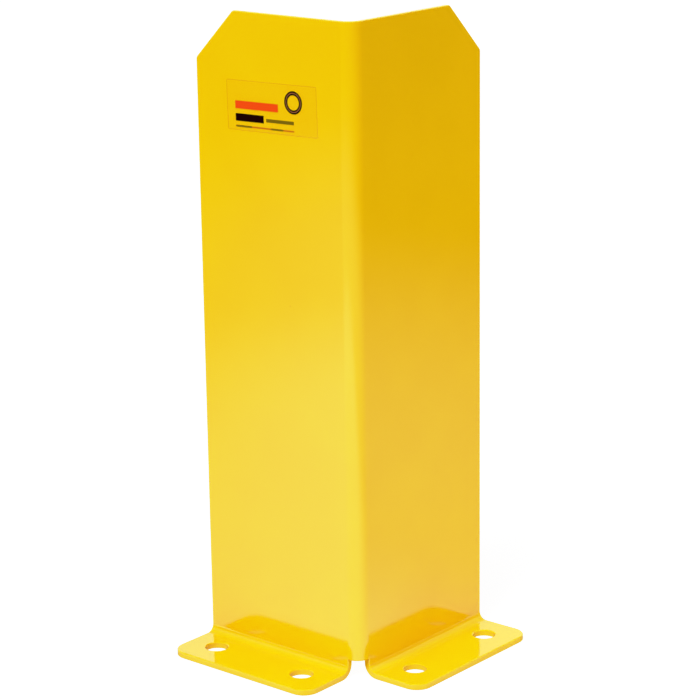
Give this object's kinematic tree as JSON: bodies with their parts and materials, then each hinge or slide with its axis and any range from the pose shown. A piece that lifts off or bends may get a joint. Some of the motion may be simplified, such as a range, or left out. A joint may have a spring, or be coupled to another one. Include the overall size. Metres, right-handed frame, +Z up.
{
  "type": "corner guard",
  "caption": "Folded yellow steel corner guard with two chamfered leaves and two drilled feet, bolted to the floor in front of a rack upright.",
  "frame": {"origin": "centre of the footprint at floor level", "axes": "+Z up; the front leaf runs along X and faces -Y, the side leaf runs along Y and faces +X, and the fold between them is at +X -Y"},
  "size_m": [0.16, 0.16, 0.4],
  "materials": {
    "yellow_powder_coat": "gloss safety-yellow powder coat over folded mild steel, all edges coated and softened",
    "clear_label": "clear self-adhesive film with small printed marks, given here as plain shapes"
  },
  "bodies": {
    "root": {"guard_plate": "yellow_powder_coat", "label_film": "clear_label"}
  },
  "joints": []
}
